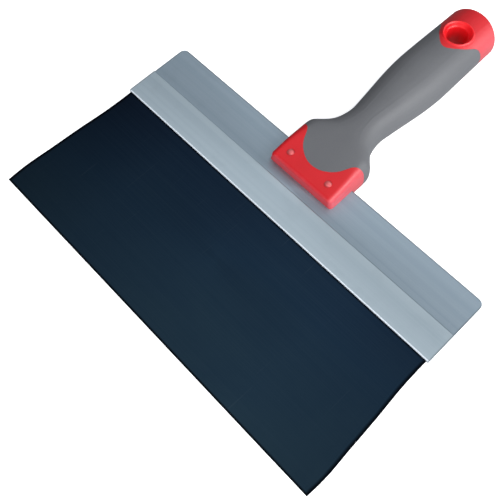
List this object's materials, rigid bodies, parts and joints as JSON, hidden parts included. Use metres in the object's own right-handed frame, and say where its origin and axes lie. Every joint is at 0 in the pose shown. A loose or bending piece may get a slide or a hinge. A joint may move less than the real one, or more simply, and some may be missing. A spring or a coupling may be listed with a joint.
{
  "type": "drywall taping knife",
  "caption": "Wide drywall taping knife: blued spring-steel blade in a stepped aluminium spine, with a riveted soft-grip handle and a hanging hole in its butt.",
  "frame": {"origin": "bottom centre of the whole tool's bounding box, with the knife lying on its back and the blade level", "axes": "+X across the blade, +Y from the working edge to the butt of the handle, +Z out of the front face"},
  "size_m": [0.2556, 0.2902, 0.0318],
  "materials": {
    "blued_steel": "blued, satin",
    "spine_aluminium": "satin, fine grain along the blade",
    "core_plastic": "semi-gloss moulded plastic",
    "grip_elastomer": "matte soft-touch elastomer",
    "rivet_metal": "satin"
  },
  "bodies": {
    "root": {"blade": "blued_steel", "spine": "spine_aluminium", "handle_core": "core_plastic", "soft_grip": "grip_elastomer", "rivet_left": "rivet_metal", "rivet_right": "rivet_metal"}
  },
  "joints": []
}
